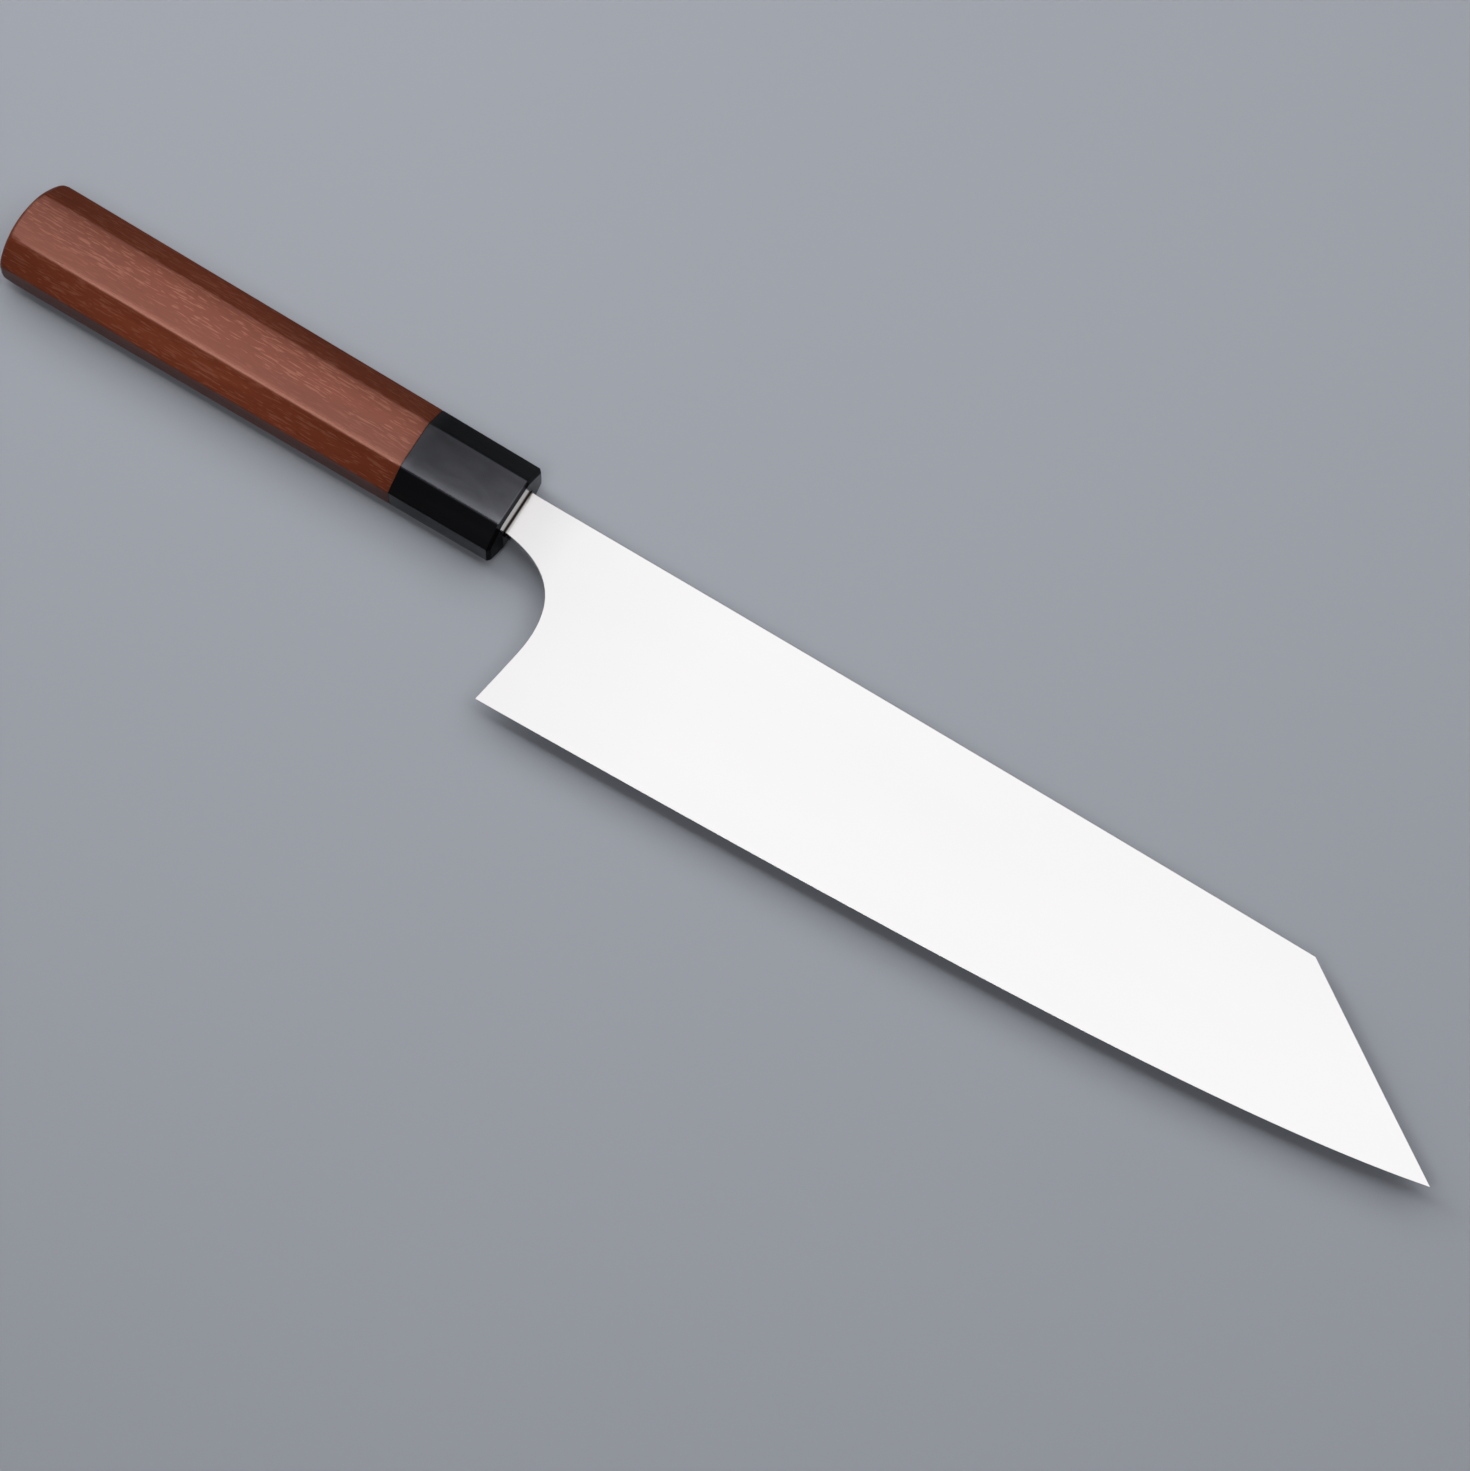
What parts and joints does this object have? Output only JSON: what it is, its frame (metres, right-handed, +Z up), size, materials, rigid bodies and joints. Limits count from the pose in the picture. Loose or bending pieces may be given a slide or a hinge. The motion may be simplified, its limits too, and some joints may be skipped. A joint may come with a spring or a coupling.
{
  "type": "gyuto knife",
  "caption": "Long kitchen knife with a straight spine, clipped tip and gently curved cutting edge, on an octagonal wooden handle with a dark ferrule, lying on its side.",
  "frame": {"origin": "bottom centre of the knife's box as it lies on its left side, on the surface it lies on", "axes": "+X along the knife towards the tip, +Y across the blade towards the spine, +Z up out of the blade's right face"},
  "size_m": [0.4132, 0.0572, 0.0186],
  "materials": {
    "blade_steel": "bright polished faces with a fine lengthwise grain",
    "ferrule_horn": "polished black horn",
    "handle_wood": "oiled reddish-brown hardwood with fine pale pores along the grain",
    "dowel_wood": "plain pale wood, hidden in the handle",
    "bedding_resin": "cured resin, hidden in the handle"
  },
  "bodies": {
    "root": {"blade": "blade_steel", "ferrule": "ferrule_horn", "handle_body": "handle_wood", "tang_dowel": "dowel_wood", "tang_bedding": "bedding_resin"}
  },
  "joints": []
}
